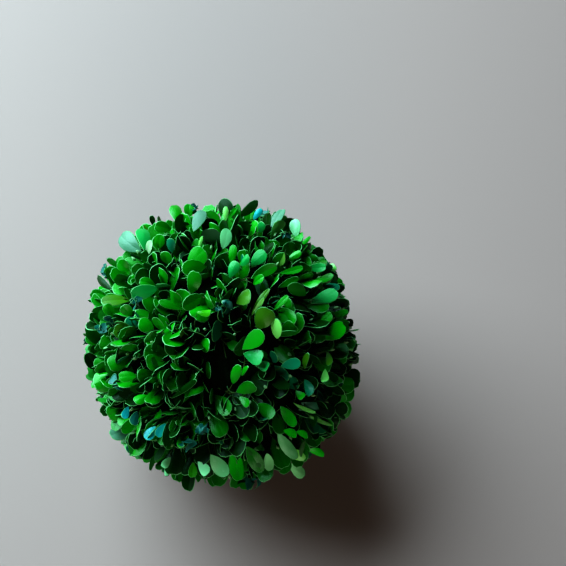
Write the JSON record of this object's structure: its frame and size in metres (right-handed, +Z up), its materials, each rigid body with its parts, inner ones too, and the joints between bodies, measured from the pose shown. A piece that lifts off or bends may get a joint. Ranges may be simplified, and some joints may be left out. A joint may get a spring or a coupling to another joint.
{
  "type": "preserved box topiary ball",
  "caption": "Clipped ball of small box leaves in forked sprigs on a hidden foam form, made to lie loose on a table or stand in a bowl.",
  "frame": {"origin": "where the ball rests, under its centre, at the level of its lowest pressed leaves", "axes": "+Z up; the ball is nearly alike all round, with its deepest clipped hollow towards +X, and the reference view looks along +Y and down"},
  "size_m": [0.1431, 0.149, 0.1465],
  "materials": {
    "foliage": "satin preserved leaves in several greens",
    "foam_form": "dry open-cell foam",
    "twig": "thin green-brown bark"
  },
  "bodies": {
    "root": {"form_ball": "foam_form", "crown_1": "foliage", "crown_2": "foliage", "crown_3": "foliage", "foot_1": "foliage", "foot_2": "foliage", "foot_3": "foliage"}
  },
  "joints": []
}
